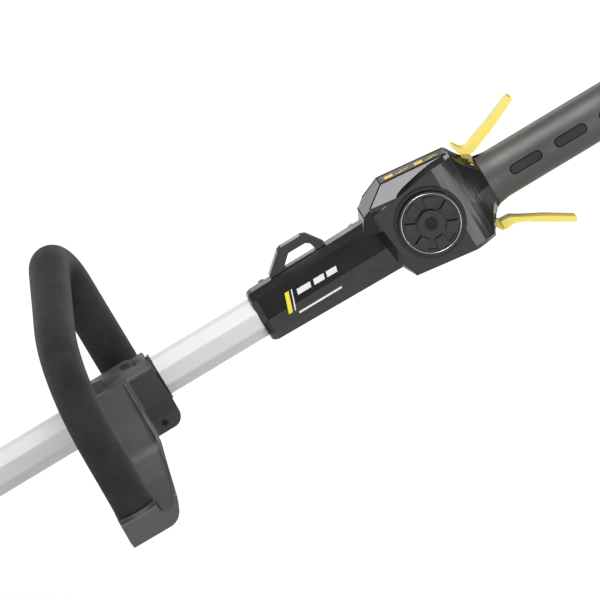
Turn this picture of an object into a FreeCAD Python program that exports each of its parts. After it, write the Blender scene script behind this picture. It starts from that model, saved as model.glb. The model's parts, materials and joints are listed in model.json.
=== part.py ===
"""String trimmer with a split control housing, a sliding loop handle and a head-mounted motor.

Two frames are used. The trimmer frame lies along the shaft: x runs back to the operator from the
front face of the control housing, y to the operator's right, z up. The part's own frame has its
origin where the bump knob meets the ground, with the spindle upright along +Z and the shaft rising
towards +X. The head is modelled in the part's frame, everything on the shaft in the trimmer frame.
"""

import os
from math import cos, degrees, pi, radians, sin, tan

import FreeCAD
import Part

# ---- driving dimensions, millimetres and degrees ----
SHAFT_RISE = 30.3
SHAFT_FLATS = 28.0
SHAFT_CORNER = 3.0
SHAFT_WALL = 1.6
SHAFT_AHEAD = 1350.0
SHAFT_INSERTED = 92.0
ELBOW_HEIGHT = 152.0
ELBOW_REACH = 32.0

HOUSING_WALL = 2.6
BODY_HALF_WIDTH = 25.0
PANEL_SLOPE = 6.0
SCALLOP_R = 150.0
SCALLOP_DEPTH = 0.5

KNOB_X = 137.0
KNOB_R = 22.5
KNOB_SPOKES = 7

GRIP_R = 18.0
GRIP_START = 186.0
GRIP_END = 326.0
GRIP_PAD_X = (216.0, 252.4, 288.8)

SAFETY_PIVOT = (182.0, 16.5)
THROTTLE_PIVOT = (174.5, -27.5)
PIVOT_PIN_R = 1.5

LOOP_X = -110.5
LOOP_YAW = 15.2
LOOP_NEAR = -120.0
LOOP_FAR = 36.0
LOOP_FOAM_R = 14.5
LOOP_TUBE_R = 9.5
CLAMP_FRONT = -101.5
CLAMP_REAR = -81.0
HUB_FRONT = -127.0
ARM_LEAN = 12.0
ARM_FACE = -132.4
CLAMP_BOLT = (-94.5, -27.5)

FIT = 0.05
GAP = 0.4

MOTOR_R = 44.0
MOTOR_BASE = 68.0
MOTOR_TOP = 128.0
SPINDLE_R = 5.0
SPOOL_HOUSING_R = 55.0
SPOOL_TOP = 50.0
LINE_Z = 32.0
LINE_R = 1.2
LINE_REACH = 184.0
GUARD_R = 200.0
GUARD_TOP = 66.0

X_AXIS = FreeCAD.Vector(1, 0, 0)
Y_AXIS = FreeCAD.Vector(0, 1, 0)
Z_AXIS = FreeCAD.Vector(0, 0, 1)


# ---- frames and export ----
def vec(x, y, z):
    return FreeCAD.Vector(x, y, z)


SHAFT_DIRECTION = vec(cos(radians(SHAFT_RISE)), 0, sin(radians(SHAFT_RISE)))
ELBOW_CENTRE = vec(0, 0, ELBOW_HEIGHT)
TRIMMER = FreeCAD.Placement(
    ELBOW_CENTRE + SHAFT_DIRECTION * (ELBOW_REACH + SHAFT_AHEAD),
    FreeCAD.Rotation(Y_AXIS, -SHAFT_RISE),
)
LOOP = FreeCAD.Placement(vec(LOOP_X, 0, 0), FreeCAD.Rotation(Z_AXIS, -LOOP_YAW))


def placed(shape, placement):
    return shape.transformed(placement.toMatrix(), True)


def save(name, shape):
    """One STEP file for a node that is already in the part's frame."""
    shape.exportStep("parts/" + name + ".step")


def save_on_shaft(name, shape):
    """One STEP file for a node that is modelled in the trimmer frame."""
    save(name, placed(shape, TRIMMER))


# ---- plain shapes ----
def box(x0, x1, y0, y1, z0, z1):
    return Part.makeBox(x1 - x0, y1 - y0, z1 - z0, vec(x0, y0, z0))


def rod(start, end, radius):
    """A cylinder between two points."""
    run = end - start
    return Part.makeCylinder(radius, run.Length, start, run)


def pipe_piece(start, end, outer, inner):
    return rod(start, end, outer).cut(rod(start, end, inner))


def turned(points):
    """A solid turned about the part's Z axis from (radius, height) points."""
    corners = [vec(radius, 0, height) for radius, height in points]
    profile = Part.Face(Part.makePolygon(corners + corners[:1]))
    return profile.revolve(vec(0, 0, 0), Z_AXIS, 360)


def united(shapes):
    first, *others = shapes
    return first.fuse(others).removeSplitter()


def largest(shape):
    """The biggest solid of a shape, without the slivers a cut can leave."""
    return max(shape.Solids, key=lambda solid: solid.Volume)


def outline(points, radii):
    """A closed wire through the points, with each corner rounded by its radius."""
    count = len(points)
    rounds = radii if isinstance(radii, (list, tuple)) else [radii] * count
    corners = []
    for index, here in enumerate(points):
        radius = rounds[index]
        if radius == 0:
            corners.append((here, None, here))
            continue
        back = (points[index - 1] - here).normalize()
        ahead = (points[(index + 1) % count] - here).normalize()
        half = back.getAngle(ahead) / 2
        bisector = (back + ahead).normalize()
        middle = here + bisector * (radius / sin(half) - radius)
        run = radius / tan(half)
        corners.append((here + back * run, middle, here + ahead * run))
    edges = []
    for index, (start, middle, end) in enumerate(corners):
        if middle is not None:
            edges.append(Part.Arc(start, middle, end).toShape())
        following = corners[(index + 1) % count][0]
        if (following - end).Length > 1e-6:
            edges.append(Part.LineSegment(end, following).toShape())
    return Part.Wire(edges)


def side_plate(points, y0, y1, radii=0):
    """A plate cut to an outline of (x, z) points and running from y0 to y1."""
    wire = outline([vec(x, y0, z) for x, z in points], radii)
    return Part.Face(wire).extrude(vec(0, y1 - y0, 0))


def cross_plate(points, x0, x1, radii=0):
    """A plate cut to an outline of (y, z) points and running from x0 to x1."""
    wire = outline([vec(x0, y, z) for y, z in points], radii)
    return Part.Face(wire).extrude(vec(x1 - x0, 0, 0))


def flat_plate(points, z0, z1, radii=0):
    """A plate cut to an outline of (x, y) points and running from z0 to z1."""
    wire = outline([vec(x, y, z0) for x, y in points], radii)
    return Part.Face(wire).extrude(vec(0, 0, z1 - z0))


def octagon(flats, x0, x1):
    """An eight-sided bar along x with rounded corners."""
    reach = flats / 2 / cos(pi / 8)
    angles = [pi / 8 + step * pi / 4 for step in range(8)]
    points = [(reach * cos(angle), reach * sin(angle)) for angle in angles]
    return cross_plate(points, x0, x1, SHAFT_CORNER)


def sliced(shape, point, normal):
    """The shape without what lies beyond a plane, on the side that the normal points to."""
    size = 400
    block = Part.makeBox(size, size, size, vec(-size / 2, -size / 2, 0))
    turn = FreeCAD.Rotation(Z_AXIS, normal)
    return shape.cut(placed(block, FreeCAD.Placement(point, turn)))


def coil(centre, axis, radius, wire_radius, length, turns):
    """A wound spring along an axis from its start point."""
    helix = Part.makeHelix(length / turns, length, radius)
    section = Part.Wire(Part.makeCircle(wire_radius, vec(radius, 0, 0), Y_AXIS))
    spring = Part.Wire(helix.Edges).makePipeShell([section], True, True)
    return placed(spring, FreeCAD.Placement(centre, FreeCAD.Rotation(Z_AXIS, axis)))


def swept(points, radii, radius):
    """A round bar along straight runs joined by tangent arcs."""
    edges = []
    start = points[0]
    for index in range(1, len(points) - 1):
        here = points[index]
        back = (points[index - 1] - here).normalize()
        ahead = (points[index + 1] - here).normalize()
        half = back.getAngle(ahead) / 2
        bend = radii[index - 1]
        run = bend / tan(half)
        middle = here + (back + ahead).normalize() * (bend / sin(half) - bend)
        edges.append(Part.LineSegment(start, here + back * run).toShape())
        edges.append(Part.Arc(here + back * run, middle, here + ahead * run).toShape())
        start = here + ahead * run
    edges.append(Part.LineSegment(start, points[-1]).toShape())
    path = Part.Wire(edges)
    direction = points[1] - points[0]
    section = Part.Wire(Part.makeCircle(radius, points[0], direction))
    return path.makePipeShell([section], True, False)


def cap_screw(head, direction, head_r, head_h, shank_r, shank_length):
    """A socket cap screw whose head starts at a point and whose shank runs along a direction."""
    way = FreeCAD.Vector(direction).normalize()
    under = head + way * head_h
    body = united([rod(head, under, head_r), rod(under, under + way * shank_length, shank_r)])
    return body.cut(rod(head, head + way * head_h * 0.6, head_r * 0.5))


# ---- shaft ----
def make_shaft():
    tube = octagon(SHAFT_FLATS, -SHAFT_AHEAD, SHAFT_INSERTED)
    bore = rod(vec(-SHAFT_AHEAD, 0, 0), vec(SHAFT_INSERTED, 0, 0), SHAFT_FLATS / 2 - SHAFT_WALL)
    save_on_shaft("shaft_tube", tube.cut(bore))


def make_motor_cable():
    back = ELBOW_CENTRE + SHAFT_DIRECTION * (ELBOW_REACH + SHAFT_AHEAD + SHAFT_INSERTED + 16)
    cable = swept([back, ELBOW_CENTRE, vec(0, 0, MOTOR_TOP - 3)], [26], 4.2)
    save("motor_cable", cable)


# ---- control housing ----
def mirrored_section(x, tilt, half):
    """A closed ten-cornered section that mirrors the right half's (y, z) points."""
    right = [vec(x - tilt * z, y, z) for y, z in half]
    left = [vec(x - tilt * z, -y, z) for y, z in reversed(half)]
    return Part.makePolygon(right + left + right[:1])


NECK_FRONT = ((7, 19.1), (14.6, 14.2), (17.4, -2), (17.6, -12.5), (10, -19))
NECK_REAR = ((7.5, 21), (15.4, 16.3), (17.8, -1.5), (18, -13.5), (11, -20.4))
BODY_FRONT = ((25, 29), (25, 23.9), (25, -2), (25, -25), (21.5, -28.7))
BODY_REAR = ((10.5, 34.1), (25, 31.8), (25, -2), (25, -31.8), (21.5, -35))
COLLAR = ((6, 18.5), (15.8, 11.5), (19.5, 0), (15.8, -11.5), (6, -18.5))
BODY_TAIL = (156.0, 160.0, 164.0, 168.0, 172.0, 174.8, 177.6, 180.4, 183.2, GRIP_START)
SIDES_LEAVE = 154.0
TOP_LEAVES = 172.0


def shrunk(half, inset):
    """The half section drawn in towards the axis by an inset."""
    widest = max(y for y, z in half)
    tallest = max(abs(z) for y, z in half)
    return [(y * (1 - inset / widest), z * (1 - inset / tallest)) for y, z in half]


def tail_sections(inset):
    """Sections from the body to the grip's collar: the sides ease in first, then top and bottom."""
    sections = []
    for x in BODY_TAIL:
        along = max(0, (x - TOP_LEAVES) / (GRIP_START - TOP_LEAVES))
        tall = (1 - along) ** 1.6
        wide = (1 + cos(pi * (x - SIDES_LEAVE) / (GRIP_START - SIDES_LEAVE))) / 2
        half = [
            (y0 + wide * (y1 - y0), z0 + tall * (z1 - z0))
            for (y0, z0), (y1, z1) in zip(COLLAR, BODY_REAR)
        ]
        sections.append(mirrored_section(x, 0, shrunk(half, inset)))
    return sections


def housing_outside():
    sections = [
        mirrored_section(0, 0, shrunk(NECK_FRONT, 2.6)),
        mirrored_section(1.4, 0, shrunk(NECK_FRONT, 0.9)),
        mirrored_section(4.5, 0, NECK_FRONT),
        mirrored_section(101.2, 0.16, NECK_REAR),
        mirrored_section(107, 0.1, BODY_FRONT),
    ]
    return Part.makeLoft(sections + tail_sections(0), True, True)


def housing_inside():
    sections = [
        mirrored_section(103, 0, shrunk(NECK_REAR, HOUSING_WALL + 1)),
        mirrored_section(110, 0, shrunk(BODY_FRONT, HOUSING_WALL)),
    ]
    cavity = Part.makeLoft(sections + tail_sections(HOUSING_WALL + 0.4), True, True)
    wire_way = rod(vec(SHAFT_INSERTED, 0, 0), vec(104, 0, 0), 8)
    return united([cavity, wire_way])


def case_screw_places():
    """Where the case screws stand, as (x, z) along the seam of the two halves."""
    return ((14, 16.4), (14, -16.6), (88, 17.6), (116, -23), (156, 27), (160, -27.5))


def pivot_boss(pivot, side):
    x, z = pivot
    return rod(vec(x, side * 9, z), vec(x, side * 15, z), 4.4)


def lever_slots():
    """Slots and spring pockets that both levers turn in."""
    safety_x, safety_z = SAFETY_PIVOT
    throttle_x, throttle_z = THROTTLE_PIVOT
    pockets = [
        box(safety_x - 5.5, GRIP_START + 4, -3.9, 3.9, 10, 27.5),
        box(throttle_x - 4.5, throttle_x + 8, -3.9, 3.9, -40, -22),
        rod(vec(safety_x, -8.9, safety_z), vec(safety_x, 8.9, safety_z), 3.7),
        rod(vec(throttle_x, -8.9, throttle_z), vec(throttle_x, 8.9, throttle_z), 4.4),
    ]
    return united(pockets)


def thumb_scallops():
    """Shallow lens-shaped hollows low on both sides of the neck."""
    reach = box(62, 94, -20, 20, -32, -3)
    return [
        reach.common(Part.makeSphere(SCALLOP_R, vec(78, side * (17.85 + SCALLOP_R - SCALLOP_DEPTH), -17.5)))
        for side in (-1, 1)
    ]


def make_housing():
    outside = housing_outside()
    shaft_bore = octagon(SHAFT_FLATS, -1, SHAFT_INSERTED)
    shell = outside.cut([housing_inside(), shaft_bore])
    bosses = [pivot_boss(SAFETY_PIVOT, side) for side in (-1, 1)]
    bosses += [pivot_boss(THROTTLE_PIVOT, side) for side in (-1, 1)]
    bosses += [
        rod(vec(x, -22, z), vec(x, 22, z), 3.6)
        for x, z in case_screw_places()
        if x > 104
    ]
    shell = shell.fuse([boss.common(outside) for boss in bosses])
    cutters = [lever_slots(), screw_sockets(), eye_foot(0), cover_seat()] + thumb_scallops()
    for x, z in (SAFETY_PIVOT, THROTTLE_PIVOT):
        cutters.append(rod(vec(x, -11.5, z), vec(x, 11.5, z), PIVOT_PIN_R))
    cutters.append(rod(vec(KNOB_X, -30, 0), vec(KNOB_X, -18, 0), 5 + FIT))
    shell = shell.cut(cutters)
    left = shell.common(box(-10, 200, -60, 0, -60, 60))
    right = shell.common(box(-10, 200, 0, 60, -60, 60))
    save_on_shaft("housing_left", left)
    save_on_shaft("housing_right", right)
    return outside


def screw_seat(x, z):
    """How far right a case screw's head sits at one place."""
    if x < 60:
        return 10.5
    return 9.5 if x < 104 else 19.5


def screw_sockets():
    sockets = []
    for x, z in case_screw_places():
        seat = screw_seat(x, z)
        sockets.append(rod(vec(x, seat, z), vec(x, 40, z), 3.3))
        sockets.append(rod(vec(x, seat - 20, z), vec(x, seat, z), 1.7))
    return united(sockets)


def make_case_screws():
    screws = []
    for x, z in case_screw_places():
        screws.append(cap_screw(vec(x, screw_seat(x, z) + 2.6, z), -Y_AXIS, 3.1, 2.6, 1.7, 18))
    for x in (200, 305):
        screws.append(cap_screw(vec(x, 12.8, 0), -Y_AXIS, 3.1, 2.6, 1.7, 18))
    save_on_shaft("case_screws", Part.makeCompound(screws))


def eye_foot(play):
    """The tongue of the strap eye that sits down into the neck."""
    return box(24 - play, 60 + play, -3 - play, 3 + play, 14.6, 20.4)


def make_strap_eye():
    """A trapezoid eye on the neck for the harness hook."""
    outer = [(17.5, 18.6), (35, 34.2), (38, 35.4), (54, 35.4), (58, 34), (68, 19.8)]
    hole = [(32.0, 20.9), (40.6, 29), (54.4, 29), (57.2, 27), (59.0, 20.9)]
    eye = side_plate(outer, -4.7, 4.7, [2, 4, 3, 3, 4, 2])
    eye = eye.cut(side_plate(hole, -6, 6, [1, 2, 2, 1.5, 1]))
    return eye.fuse(eye_foot(0)).removeSplitter()


def cover_seat():
    """The shallow pocket in the housing's top that the cover's middle sinks into."""
    return on_panel(box(-3, 49, -9.6, 9.6, -4.5, 3))


def cover_blank():
    """The faceted cap over the display, before the housing is taken out of it."""
    half_width = BODY_HALF_WIDTH - 0.4
    panel_normal = vec(sin(radians(PANEL_SLOPE)), 0, cos(radians(PANEL_SLOPE)))
    cover = box(93, 171, -half_width, half_width, 12, 40).cut(box(150, 180, -30, 30, 10, 27))
    cover = sliced(cover, vec(120.5, 0, 39), vec(-13, 0, 22))
    cover = sliced(cover, vec(120.5, 0, 39), panel_normal)
    cover = sliced(cover, vec(98.5, 0, 26), vec(-0.88, 0, 0.48))
    for side in (-1, 1):
        cover = sliced(cover, vec(106, side * 25, 29.5), vec(0.1, side * 0.683, 0.724))
        cover = sliced(cover, vec(104.5, side * 25, 29), vec(-0.65, side * 0.76, 0))
    return cover


def on_panel(shape):
    """A shape drawn on the display's slope, with x from the top edge and z off its surface."""
    turn = FreeCAD.Rotation(Y_AXIS, PANEL_SLOPE)
    return placed(shape, FreeCAD.Placement(vec(120.5, 0, 39), turn))


def display_plate(y_reach, z0, z1, x0, x1):
    points = [(x0, -y_reach), (x1, -y_reach), (x1, y_reach), (x0, y_reach)]
    return on_panel(flat_plate(points, z0, z1, [1.5, 7, 7, 1.5]))


def status_light_blanks():
    return [on_panel(box(x, x + 6.4, -6.5, 1.5, -0.5, 0.55)) for x in (4.6, 27.6)]


def make_top_cover(outside):
    cover = largest(cover_blank().cut(outside.cut(cover_seat())))
    window = display_plate(8.6, -1.2, 0.3, 2.5, 44)
    lights = status_light_blanks()
    save_on_shaft("top_cover", cover.cut(window))
    save_on_shaft("display_window", window.cut(lights))
    save_on_shaft("status_lights", Part.makeCompound(lights))


def make_knob():
    """A castellated speed dial on the left face."""
    face = -BODY_HALF_WIDTH
    bezel = pipe_piece(vec(KNOB_X, face, 0), vec(KNOB_X, face - 1.6, 0), 25.5, KNOB_R + GAP)
    save_on_shaft("knob_bezel", bezel)
    back = vec(KNOB_X, face - 0.4, 0)
    front = vec(KNOB_X, face - 5, 0)
    dial = rod(back, front, KNOB_R)
    dial = dial.cut(pipe_piece(vec(KNOB_X, face - 3.6, 0), vec(KNOB_X, face - 6, 0), 20.6, 18.6))
    dial = dial.cut(pipe_piece(vec(KNOB_X, face - 3.2, 0), vec(KNOB_X, face - 6, 0), 11.2, 9.5))
    for step in range(KNOB_SPOKES):
        pocket = side_plate([(-2.2, 10.6), (2.2, 10.6), (3.9, 18.8), (-3.9, 18.8)], 0, 8, 0.8)
        turn = FreeCAD.Rotation(Y_AXIS, step * 360 / KNOB_SPOKES)
        dial = dial.cut(placed(pocket, FreeCAD.Placement(vec(KNOB_X, face - 10, 0), turn)))
    hub = [
        rod(vec(KNOB_X, face - 3, 0), vec(KNOB_X, face - 6.8, 0), 9.5),
        rod(back, vec(KNOB_X, -15, 0), 5),
        rod(vec(KNOB_X, -15, 0), vec(KNOB_X, -8, 0), 3),
    ]
    dial = united([dial] + hub)
    dial = dial.cut(rod(vec(KNOB_X, face - 5.8, 0), vec(KNOB_X, face - 8, 0), 4.8))
    dial = dial.cut(rod(vec(KNOB_X, face - 8, 0), vec(KNOB_X, -20, 0), 1.5))
    save_on_shaft("speed_knob", dial)
    screw = cap_screw(vec(KNOB_X, face - 7.4, 0), Y_AXIS, 4.5, 1.6, 1.5, 8)
    save_on_shaft("knob_screw", screw)
    encoder = box(KNOB_X - 8, KNOB_X + 8, -14.6, -7, -8, 8)
    save_on_shaft("knob_encoder", encoder.cut(rod(vec(KNOB_X, -15, 0), vec(KNOB_X, -7.4, 0), 3 + FIT)))


def make_control_board():
    board = box(112, 160, -7, -5.4, -18, 18)
    parts = [box(116, 124, -5.4, 1, -14, 4), box(128, 146, -5.4, -2.4, 2, 14)]
    for x in (130, 138, 146):
        parts.append(rod(vec(x, -5.4, -8), vec(x, 6, -8), 3.6))
    save_on_shaft("control_board", united([board] + parts))
    save_on_shaft("heat_sink", heat_sink())


def heat_sink():
    base = box(114, 158, 12, 14, -16, 16)
    fins = [box(x, x + 1.6, 14, 20, -14, 14) for x in range(116, 157, 5)]
    return united([base] + fins)


# ---- levers ----
def make_safety_lever():
    """The upper lever that lies under the palm."""
    x, z = SAFETY_PIVOT
    paddle = side_plate(
        [(176.3, 34.9), (178.4, 35.3), (182, 29.2), (187, 29.2), (208.6, 36.8), (228.5, 44.8),
         (231, 41.6), (208.6, 31), (187, 22.7), (178.9, 27)],
        -7, 7, [0.8, 0.8, 4, 5, 20, 1.6, 1.4, 20, 5, 1],
    )
    stem = side_plate([(178.9, 27.6), (186, 24.6), (185, 19), (184.6, z), (179.4, z)], -3.4, 3.4)
    lever = united([paddle, stem, rod(vec(x, -3.4, z), vec(x, 3.4, z), 2.9)])
    lever = lever.cut(rod(vec(x, -8, z), vec(x, 8, z), PIVOT_PIN_R + FIT))
    save_on_shaft("safety_lever", lever)


def make_throttle_lever():
    """The lower lever that the fingers squeeze."""
    x, z = THROTTLE_PIVOT
    paddle = side_plate(
        [(179.6, -29.4), (187, -30), (191.5, -33), (208.6, -42.4), (227.6, -54.6),
         (225.4, -57.6), (208.6, -47.4), (191.8, -37), (187, -35.6), (179.6, -36.2)],
        -7, 7, [0.8, 6, 6, 20, 1.5, 1.5, 20, 6, 6, 0.8],
    )
    stem = side_plate([(x - 2, z), (x + 2, z + 2.4), (180, -29.6), (180, -36), (177.6, -36.6)], -3.4, 3.4)
    lever = united([paddle, stem, rod(vec(x, -3.4, z), vec(x, 3.4, z), 2.9)])
    lever = lever.cut(rod(vec(x, -8, z), vec(x, 8, z), PIVOT_PIN_R + FIT))
    save_on_shaft("throttle_lever", lever)


def make_lever_hardware():
    for name, (x, z) in (("safety", SAFETY_PIVOT), ("throttle", THROTTLE_PIVOT)):
        save_on_shaft(name + "_pin", rod(vec(x, -11.5, z), vec(x, 11.5, z), PIVOT_PIN_R))
        spring = coil(vec(x, 4.2, z), Y_AXIS, 2.6, 0.45, 3.9, 3)
        save_on_shaft(name + "_spring", spring)
    save_on_shaft("safety_switch", box(160, 173, -5, 5, 6, 13))
    save_on_shaft("throttle_sensor", box(148, 163, -5, 5, -23, -15))


# ---- grip ----
def grip_pad_slots(depth):
    """Stadium inlays along both sides of the grip, three to a side."""
    pads = []
    for side in (-1, 1):
        for x in GRIP_PAD_X:
            low = side * (GRIP_R - depth)
            high = side * (GRIP_R + 0.35)
            points = [(x - 12.25, -3.25), (x + 12.25, -3.25), (x + 12.25, 3.25), (x - 12.25, 3.25)]
            pads.append(side_plate(points, min(low, high), max(low, high), 3.2))
    return pads


def make_grip():
    tube = rod(vec(GRIP_START, 0, 0), vec(GRIP_END, 0, 0), GRIP_R)
    flare = Part.makeCone(19.3, GRIP_R, 8, vec(GRIP_START, 0, 0), X_AXIS)
    bore = rod(vec(GRIP_START, 0, 0), vec(GRIP_END, 0, 0), 14.6)
    tube = tube.fuse(flare).cut(bore)
    bosses = [rod(vec(x, -16, 0), vec(x, 16, 0), 3.6) for x in (200, 305)]
    tube = tube.fuse(bosses)
    cutters = grip_pad_slots(1.6) + [lever_slots()]
    for x in (200, 305):
        cutters.append(rod(vec(x, 10.2, 0), vec(x, 30, 0), 3.3))
        cutters.append(rod(vec(x, -7.8, 0), vec(x, 10.2, 0), 1.7))
    tube = tube.cut(cutters)
    save_on_shaft("grip_left", tube.common(box(180, 340, -40, 0, -40, 40)))
    save_on_shaft("grip_right", tube.common(box(180, 340, 0, 40, -40, 40)))
    blank = rod(vec(GRIP_START, 0, 0), vec(GRIP_END, 0, 0), GRIP_R + 0.3)
    save_on_shaft("grip_pads", Part.makeCompound([pad.common(blank) for pad in grip_pad_slots(1.6)]))


def make_grip_end():
    cap = rod(vec(GRIP_END, 0, 0), vec(GRIP_END + 5, 0, 0), GRIP_R)
    rim = Part.makeCone(GRIP_R, 14.5, 4, vec(GRIP_END + 5, 0, 0), X_AXIS)
    cap = united([cap, rim])
    cap = cap.cut(rod(vec(GRIP_END - 1, 0, 0), vec(GRIP_END + 12, 0, 0), 10))
    save_on_shaft("grip_end_cap", cap)
    base = GRIP_END
    collar = pipe_piece(vec(base, 0, 0), vec(base + 24, 0, 0), 10, 7.4)
    floor = rod(vec(base, 0, 0), vec(base + 4, 0, 0), 8)
    shoulder = pipe_piece(vec(base + 9, 0, 0), vec(base + 11, 0, 0), 12.5, 9)
    pins = [rod(vec(base + 4, y, z), vec(base + 16, y, z), 1.2) for y, z in pin_places()]
    save_on_shaft("power_inlet", united([collar, floor, shoulder]))
    save_on_shaft("inlet_pins", Part.makeCompound(pins))


def pin_places():
    """Four contacts on a square inside the power inlet."""
    return ((3, 3), (-3, 3), (-3, -3), (3, -3))


def make_wire_harness():
    save_on_shaft("wire_harness", rod(vec(160, -4, -7), vec(GRIP_END, -4, -7), 1.9))


# ---- loop handle ----
def in_loop(shape):
    return placed(shape, LOOP)


def loop_point(q, z):
    return vec(0, q, z)


NEAR_FOOT = (LOOP_NEAR - 1.5, -71.0)
NEAR_BEND = (LOOP_NEAR + 7.0, 60.7)
FAR_BEND = (LOOP_FAR, 115.5)
NEAR_BEND_R = 85.0
FAR_BEND_R = 24.0
SOCKET_R = 15.2
NEAR_SOCKET_TOP = -48.0
FAR_SOCKET_TOP = 13.5


def near_limb(z):
    """The point of the near limb's centre line at one height."""
    share = (z - NEAR_FOOT[1]) / (NEAR_BEND[1] - NEAR_FOOT[1])
    return loop_point(NEAR_FOOT[0] + share * (NEAR_BEND[0] - NEAR_FOOT[0]), z)


def loop_bar(low_near, low_far, radius):
    points = [
        near_limb(low_near), loop_point(*NEAR_BEND), loop_point(*FAR_BEND), loop_point(LOOP_FAR, low_far),
    ]
    return swept(points, [NEAR_BEND_R, FAR_BEND_R], radius)


def make_loop():
    bar = loop_bar(-66, -4, LOOP_TUBE_R)
    save_on_shaft("loop_tube", in_loop(bar.cut(loop_bar(-67, -5, LOOP_TUBE_R - 1.5))))
    foam = loop_bar(NEAR_SOCKET_TOP, FAR_SOCKET_TOP, LOOP_FOAM_R)
    save_on_shaft("loop_foam", in_loop(foam.cut(bar)))


def clamp_half(side, x0, x1):
    """One half of the collar that closes round the shaft."""
    half = [(0.4, 20.5), (12, 20.5), (20.5, 12), (20.5, -12), (14, -22), (14, -34.5), (0.4, -34.5)]
    points = [(side * y, z) for y, z in half]
    collar = cross_plate(points, x0, x1, [0, 6, 7, 6, 4, 4, 0])
    return collar.common(clamp_side_view())


def clamp_side_view():
    """The clamp's outline from the side: a low step on top and a round rear lower corner."""
    points = [
        (HUB_FRONT, 20.5), (-96, 20.5), (-93.6, 18.5), (CLAMP_REAR - 2, 18.5), (CLAMP_REAR, -14),
        (CLAMP_REAR - 0.4, -34.5), (HUB_FRONT, -34.5),
    ]
    return side_plate(points, -30, 30, [0, 2, 2, 1, 6, 10, 0])


def shaft_hole(clearance):
    return octagon(SHAFT_FLATS + 2 * clearance, -150, -60)


def clamp_bores():
    """Room for the clamp's bolt, its nut and the hinge pin."""
    x, z = CLAMP_BOLT
    return [
        rod(vec(x, -20, z), vec(x, 20, z), 2.0),
        rod(vec(x, -20, z), vec(x, -10.5, z), 2.7),
        box(x - 3.55, x + 3.55, 10.5, 20, z - 3.55, z + 3.55),
        rod(vec(CLAMP_FRONT, 0, 17.1), vec(CLAMP_REAR, 0, 17.1), 1.1),
    ]


def leaned(shape):
    """A shape drawn in an upright side view, tipped so that its top leans to the right."""
    return placed(shape, FreeCAD.Placement(vec(0, 0, 0), FreeCAD.Rotation(X_AXIS, -ARM_LEAN)))


def arm_side_profile():
    """The arm seen along the shaft, solid under the rim of its scoop, as (y, z) points."""
    points = [
        (ARM_FACE, -68), (ARM_FACE, -49.5), (-100, -52), (-84, -51.5), (-58, -45), (-38, -30),
        (-28, -10), (-23, 12), (-20, 14), (-5, 14), (-5, -30), (-14, -34), (-40, -58), (-60, -65.5),
        (-84, -68),
    ]
    return points, [0, 1.2, 20, 20, 30, 14, 25, 1.5, 0, 0, 0, 0, 10, 20, 0]


def scoop_region():
    """What lies above the scoop's hollow floor, as a block along the shaft."""
    points = [
        (-160, -62.5), (-98, -62.5), (-84, -60.5), (-56, -52), (-33, -35), (-24.5, -10), (-20.2, 15),
        (-20.2, 40), (-160, 40),
    ]
    return cross_plate(points, -170, -90, [0, 30, 30, 30, 16, 30, 0, 0, 0])


def make_arm():
    """The scooped arm that runs from the clamp down and out to the near end of the loop."""
    silhouette = [
        (-157, -93.6), (-157, -66), (-138, -52), (-130, -20), (-130, 13.8), (-104, 13.8),
        (-102.6, -30), (-103.3, -39.9), (-108.2, -58), (-113.6, -80), (-119.5, -94),
    ]
    rounds = [0.8, 3, 6, 10, 0, 0, 0, 12, 60, 30, 12]
    outline_block = leaned(side_plate(silhouette, -170, 30, rounds))
    points, radii = arm_side_profile()
    arm = cross_plate(points, -170, -90, radii).common(outline_block)
    hollow = [
        (-129, -72.4), (-150, -40), (-140, 20), (-105.2, 20), (-105.2, -35), (-109.4, -61.6),
        (-115.2, -77), (-118.6, -82.6), (-127.4, -83.6),
    ]
    cutter = leaned(side_plate(hollow, -170, 30, [0, 0, 0, 0, 12, 30, 10, 4, 4]))
    return arm.cut(cutter.common(scoop_region()))


def far_web():
    """The plate that carries the far socket, beyond the shaft."""
    outer = [
        (-12, -33), (8, -38), (40, -36), (40, FAR_SOCKET_TOP), (20, FAR_SOCKET_TOP), (0, 20.5),
        (-12, 20.5),
    ]
    recess = [(12, -30), (35, -31), (35, 8), (22, 8)]
    web = cross_plate(outer, -3.5, 8.5, [0, 6, 4, 0, 8, 8, 0])
    return web.cut(cross_plate(recess, 1.5, 12, 3))


def make_bracket():
    """The loop's carrier: half of the clamp, a scooped arm and a socket for each end."""
    low, high = near_limb(-68), near_limb(NEAR_SOCKET_TOP)
    sockets = [
        rod(low, high, SOCKET_R),
        rod(loop_point(LOOP_FAR, -14), loop_point(LOOP_FAR, FAR_SOCKET_TOP), SOCKET_R),
    ]
    body = in_loop(united([far_web()] + sockets))
    hub = united([clamp_half(side, HUB_FRONT, CLAMP_FRONT) for side in (-1, 1)]
                 + [box(HUB_FRONT, CLAMP_FRONT, -0.5, 0.5, -34.5, 20.5)])
    hub = sliced(hub, vec(-123, -2.2, 20.5), vec(-4, -9, 9.5))
    body = united([body, hub, make_arm(), clamp_half(1, CLAMP_FRONT, CLAMP_REAR)])
    tube = in_loop(loop_bar(-66, -4, LOOP_TUBE_R))
    liner_seat = octagon(SHAFT_FLATS + 3.4, CLAMP_FRONT, CLAMP_REAR)
    body = body.cut([tube, liner_seat, shaft_hole(GAP)] + clamp_bores() + bracket_screw_bores())
    save_on_shaft("loop_bracket", body)


def bracket_screw_line(index):
    """Head point and direction of the screw that holds each end of the loop tube."""
    if index == 0:
        return near_limb(-61) + X_AXIS * SOCKET_R, -X_AXIS
    return loop_point(LOOP_FAR, 4) + X_AXIS * SOCKET_R, -X_AXIS


def bracket_screw_bores():
    bores = []
    for index in range(2):
        head, way = bracket_screw_line(index)
        bores.append(in_loop(rod(head, head + way * 3, 3.3)))
        bores.append(in_loop(rod(head, head + way * 8, 1.9)))
    return bores


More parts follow.
